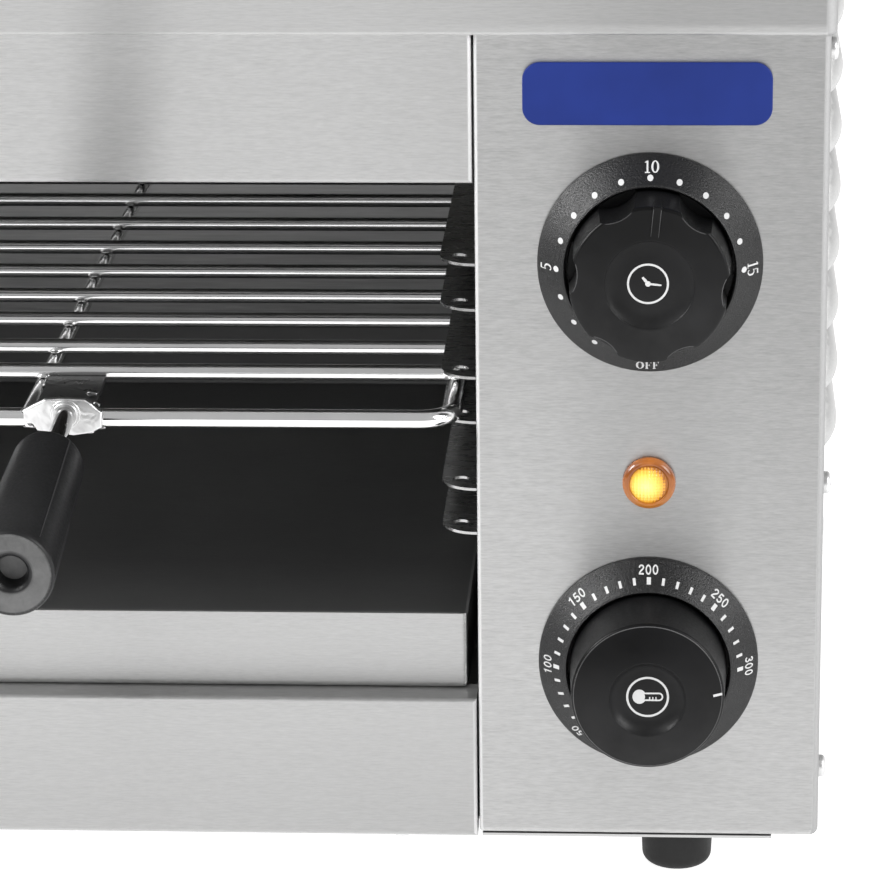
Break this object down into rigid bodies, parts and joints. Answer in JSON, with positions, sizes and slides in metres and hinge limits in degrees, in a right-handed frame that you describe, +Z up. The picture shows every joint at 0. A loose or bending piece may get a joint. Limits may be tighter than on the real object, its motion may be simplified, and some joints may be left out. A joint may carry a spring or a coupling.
{
  "type": "salamander toaster grill",
  "caption": "Open-front stainless countertop toaster grill with a pull-out wire rack on side runners, crumb tray, timer and thermostat dials, pilot lamp and louvred sides.",
  "frame": {"origin": "on the surface it stands on, under the middle of the overall box (handles to rear cable gland)", "axes": "+X to the object's right-hand (control) side seen from the front, the open front faces -Y, +Z up"},
  "size_m": [0.613, 0.4596, 0.28],
  "materials": {
    "amber": "translucent amber lens",
    "badge_blue": "plain blue film, blank",
    "bakelite": "moulded black thermoset, semi-gloss",
    "base_steel": "galvanised sheet",
    "brass_part": "turned brass",
    "ceramic": "glazed ceramic",
    "chrome_wire": "bright chromed wire",
    "copper": "drawn copper",
    "dial_black": "satin black moulding with white figures",
    "element_alloy": "oxidised tubular sheath",
    "gland_plastic": "black nylon",
    "insulation": "mineral wool board",
    "knob_black": "semi-gloss black moulding",
    "lamp_body": "pale nylon",
    "lid_steel": "brushed stainless sheet, folded and hemmed",
    "oven_steel": "plain mill-finish sheet",
    "rubber": "black moulded rubber",
    "screw_zinc": "bright plated screw",
    "steel_panel": "brushed stainless sheet",
    "stud_steel": "dark zinc-plated steel",
    "switch_body": "moulded switch case",
    "wire_jacket": "glass-fibre sleeved wire"
  },
  "bodies": {
    "cabinet": {"badge_plate": "badge_blue", "base_pan": "base_steel", "base_screws": "screw_zinc", "bulb_clips": "screw_zinc", "cable_gland_body": "gland_plastic", "cable_gland_locknut": "gland_plastic", "cable_gland_nut": "gland_plastic", "ceiling_reflector": "oven_steel", "control_panel": "steel_panel", "dial_screws": "screw_zinc", "earth_stud": "brass_part", "element_bushes": "ceramic", "element_clamp_nuts": "brass_part", "element_hangers": "oven_steel", "feet": "rubber", "foot_nuts": "screw_zinc", "foot_screws": "screw_zinc", "heating_elements": "element_alloy", "internal_wires": "wire_jacket", "left_front_post": "steel_panel", "left_side_panel": "steel_panel", "lid": "lid_steel", "lower_front_panel": "steel_panel", "oven_back_wall": "oven_steel", "oven_left_wall": "oven_steel", "oven_right_wall": "oven_steel", "pilot_lamp_body": "lamp_body", "pilot_lamp_clip": "screw_zinc", "pilot_lamp_lens": "amber", "rack_runners_left": "chrome_wire", "rack_runners_right": "chrome_wire", "rear_panel": "base_steel", "rear_screws": "screw_zinc", "right_side_panel": "steel_panel", "rivets": "screw_zinc", "side_insulation_board": "insulation", "side_screws": "screw_zinc", "terminal_block": "ceramic", "terminal_screws": "brass_part", "thermostat_bezel": "dial_black", "thermostat_body": "switch_body", "thermostat_bulb": "copper", "thermostat_capillary": "copper", "timer_bezel": "dial_black", "timer_mechanism": "switch_body", "top_insulation": "insulation", "tray_shelf": "oven_steel", "upper_front_panel": "steel_panel"},
    "rack": {"rack_frame": "chrome_wire", "rack_rungs": "chrome_wire", "rack_cross_wires": "chrome_wire", "handle_brackets": "chrome_wire", "handle_collars": "chrome_wire", "handle_studs": "stud_steel", "handle_grips": "bakelite"},
    "tray": {"crumb_tray": "steel_panel"},
    "timer": {"timer_knob": "knob_black", "timer_shaft": "brass_part"},
    "thermostat": {"thermostat_knob": "knob_black", "thermostat_shaft": "brass_part"}
  },
  "joints": [
    {"name": "rack_slide", "type": "slide", "parent": "cabinet", "child": "rack", "axis": [0, -1, 0], "range_m": [0, 0.24]},
    {"name": "tray_slide", "type": "slide", "parent": "cabinet", "child": "tray", "axis": [0, -1, 0], "range_m": [0, 0.28]},
    {"name": "timer_turn", "type": "hinge", "parent": "cabinet", "child": "timer", "pos_m": [0.2512, -0.11511, 0.196], "axis": [0, 1, 0], "range_deg": [-185.5, 84.5]},
    {"name": "thermostat_turn", "type": "hinge", "parent": "cabinet", "child": "thermostat", "pos_m": [0.2512, -0.11511, 0.0751], "axis": [0, 1, 0], "range_deg": [-225, 0]}
  ]
}
